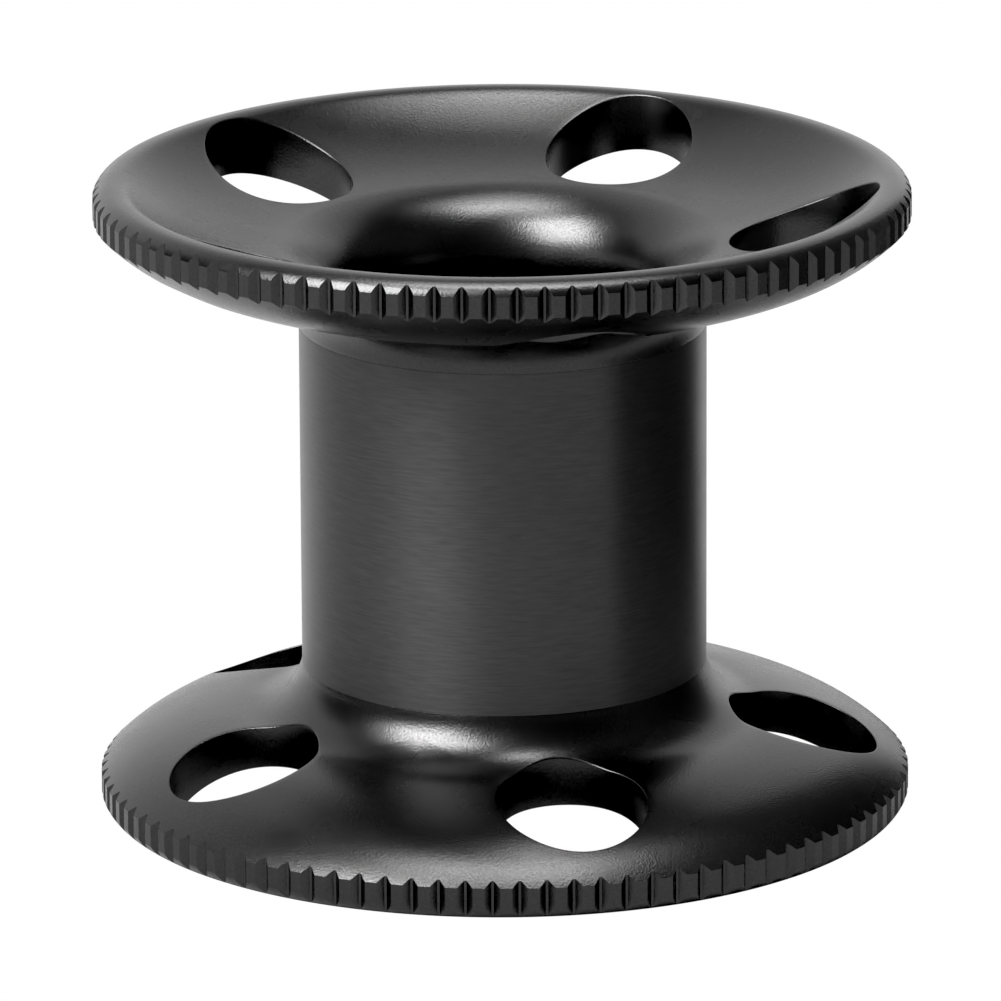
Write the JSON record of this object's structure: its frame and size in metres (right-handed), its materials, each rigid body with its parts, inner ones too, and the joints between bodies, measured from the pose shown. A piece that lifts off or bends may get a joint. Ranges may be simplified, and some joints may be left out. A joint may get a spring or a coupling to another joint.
{
  "type": "finger spool",
  "caption": "Empty hand line spool: two dished flanges with grooved rims and round clip holes on a plain barrel with a through finger bore.",
  "frame": {"origin": "centre of the finger bore, half way up the spool", "axes": "+Z along the bore axis; one clip hole in each flange lies 5.4 degrees from +X towards -Y"},
  "size_m": [0.08, 0.08, 0.0632],
  "materials": {
    "flange_anodise": "satin black anodised, turned",
    "barrel_anodise": "satin black anodised, fine turning marks round the barrel"
  },
  "bodies": {
    "root": {"upper_flange": "flange_anodise", "barrel": "barrel_anodise", "lower_flange": "flange_anodise"}
  },
  "joints": []
}
